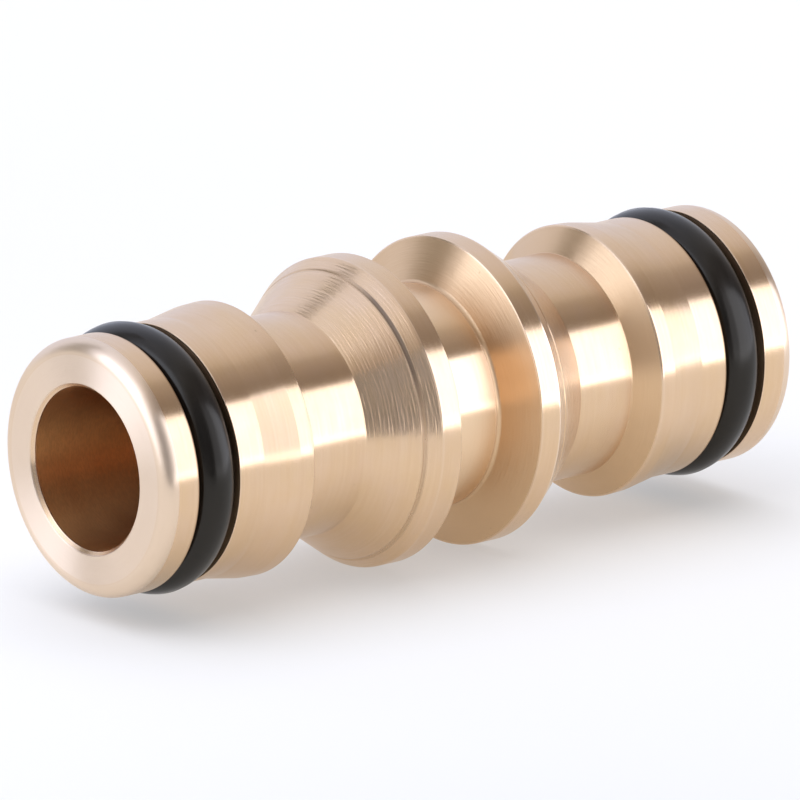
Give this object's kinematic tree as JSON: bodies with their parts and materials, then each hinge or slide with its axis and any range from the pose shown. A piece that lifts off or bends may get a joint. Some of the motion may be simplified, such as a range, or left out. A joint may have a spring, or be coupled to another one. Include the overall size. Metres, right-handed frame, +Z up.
{
  "type": "hose union fitting",
  "caption": "Double-ended male quick-connect hose union: turned brass body with a through water way, a flange, neck and O-ring nose at each end.",
  "frame": {"origin": "on the axis of the water way, half way between the two end faces", "axes": "+X along the water way towards the right nose; the body is round about X and its two ends mirror each other, so +Y and +Z are any two directions square to it, with +Z up when the union lies on its flanges"},
  "size_m": [0.049, 0.019, 0.019],
  "materials": {
    "brass": "turned and polished, fine circumferential tool marks",
    "rubber": "satin black moulded nitrile"
  },
  "bodies": {
    "root": {"brass_body": "brass", "o_ring_left": "rubber", "o_ring_right": "rubber"}
  },
  "joints": []
}
